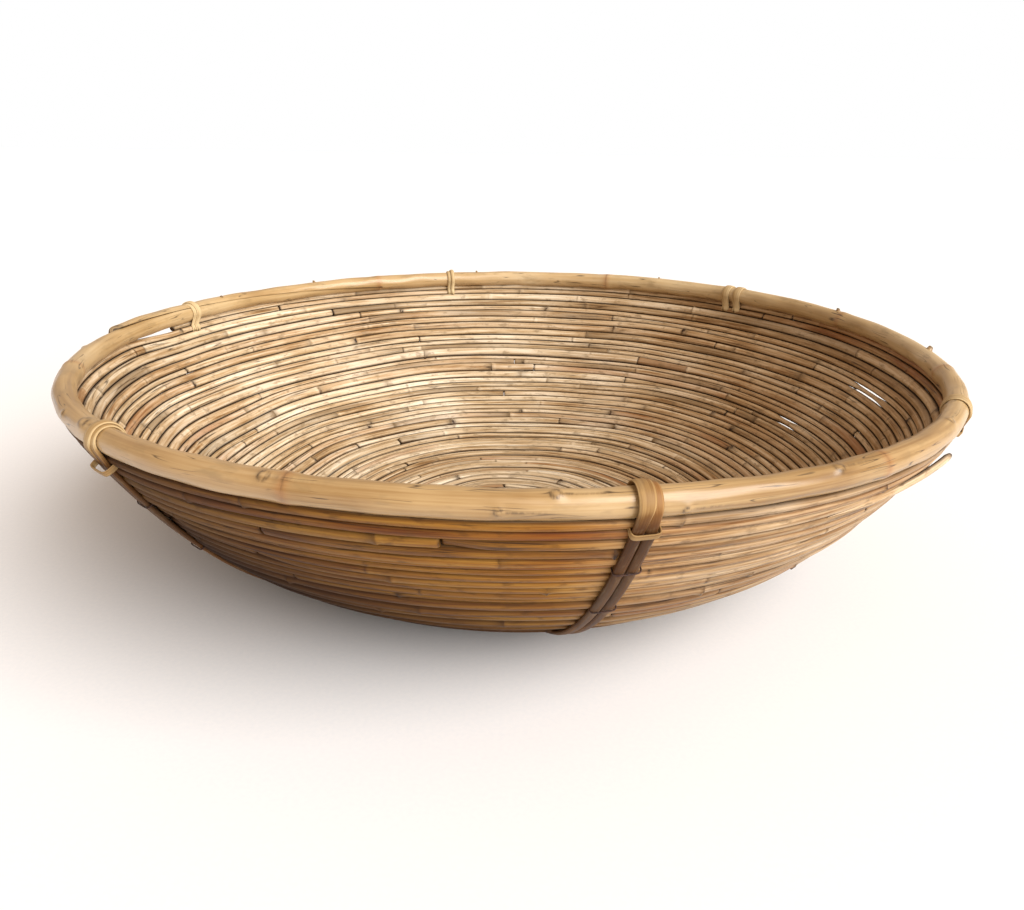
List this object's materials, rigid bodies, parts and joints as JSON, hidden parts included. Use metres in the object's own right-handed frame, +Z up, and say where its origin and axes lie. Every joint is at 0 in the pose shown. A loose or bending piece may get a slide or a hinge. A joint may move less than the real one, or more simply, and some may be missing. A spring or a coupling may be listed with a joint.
{
  "type": "coiled reed bowl",
  "caption": "Wide shallow bowl of coiled rattan reed with a smooth pole rim, bound by paired split-cane ribs that hook over the rim and turn under the base.",
  "frame": {"origin": "centre of the bowl's outline, in the plane that the rib feet stand on", "axes": "+Z up, out of the bowl's mouth; -Y faces the viewer, and the dark front rib lies 12 degrees from it towards +X"},
  "size_m": [0.5936, 0.5936, 0.1509],
  "materials": {
    "rattan_pole": "smooth rattan skin, honey coloured, satin varnish",
    "coil_reed": "unpeeled reed, straw to honey brown, streaked, low sheen",
    "rib_cane": "split rattan cane, weathered brown, low sheen",
    "tie_cane": "thin split cane, pale straw, satin",
    "tie_wire": "dark oxidised binding wire"
  },
  "bodies": {
    "root": {"rim_pole": "rattan_pole", "coil_reed_01": "coil_reed", "coil_reed_02": "coil_reed", "coil_reed_03": "coil_reed", "coil_reed_04": "coil_reed", "coil_reed_05": "coil_reed", "coil_reed_06": "coil_reed", "coil_reed_07": "coil_reed", "coil_reed_08": "coil_reed", "coil_reed_09": "coil_reed", "coil_reed_10": "coil_reed", "coil_reed_11": "coil_reed", "coil_reed_12": "coil_reed", "coil_reed_13": "coil_reed", "coil_reed_14": "coil_reed", "coil_reed_15": "coil_reed", "coil_reed_16": "coil_reed", "coil_reed_17": "coil_reed", "coil_reed_18": "coil_reed", "coil_reed_19": "coil_reed", "coil_reed_20": "coil_reed", "coil_reed_21": "coil_reed", "coil_reed_22": "coil_reed", "coil_reed_23": "coil_reed", "coil_reed_24": "coil_reed", "rib_1_left_cane": "rib_cane", "rib_1_right_cane": "rib_cane", "rib_1_cane_tie": "tie_cane", "rib_1_upper_wire_tie": "tie_wire", "rib_1_lower_wire_tie": "tie_wire", "rib_2_left_cane": "rib_cane", "rib_2_right_cane": "rib_cane", "rib_2_cane_tie": "tie_cane", "rib_2_upper_wire_tie": "tie_wire", "rib_2_lower_wire_tie": "tie_wire", "rib_3_left_cane": "rib_cane", "rib_3_right_cane": "rib_cane", "rib_3_cane_tie": "tie_cane", "rib_3_upper_wire_tie": "tie_wire", "rib_3_lower_wire_tie": "tie_wire", "rib_4_left_cane": "rib_cane", "rib_4_right_cane": "rib_cane", "rib_4_cane_tie": "tie_cane", "rib_4_upper_wire_tie": "tie_wire", "rib_4_lower_wire_tie": "tie_wire", "rib_5_left_cane": "rib_cane", "rib_5_right_cane": "rib_cane", "rib_5_cane_tie": "tie_cane", "rib_5_upper_wire_tie": "tie_wire", "rib_5_lower_wire_tie": "tie_wire", "rib_6_left_cane": "rib_cane", "rib_6_right_cane": "rib_cane", "rib_6_cane_tie": "tie_cane", "rib_6_upper_wire_tie": "tie_wire", "rib_6_lower_wire_tie": "tie_wire"}
  },
  "joints": []
}
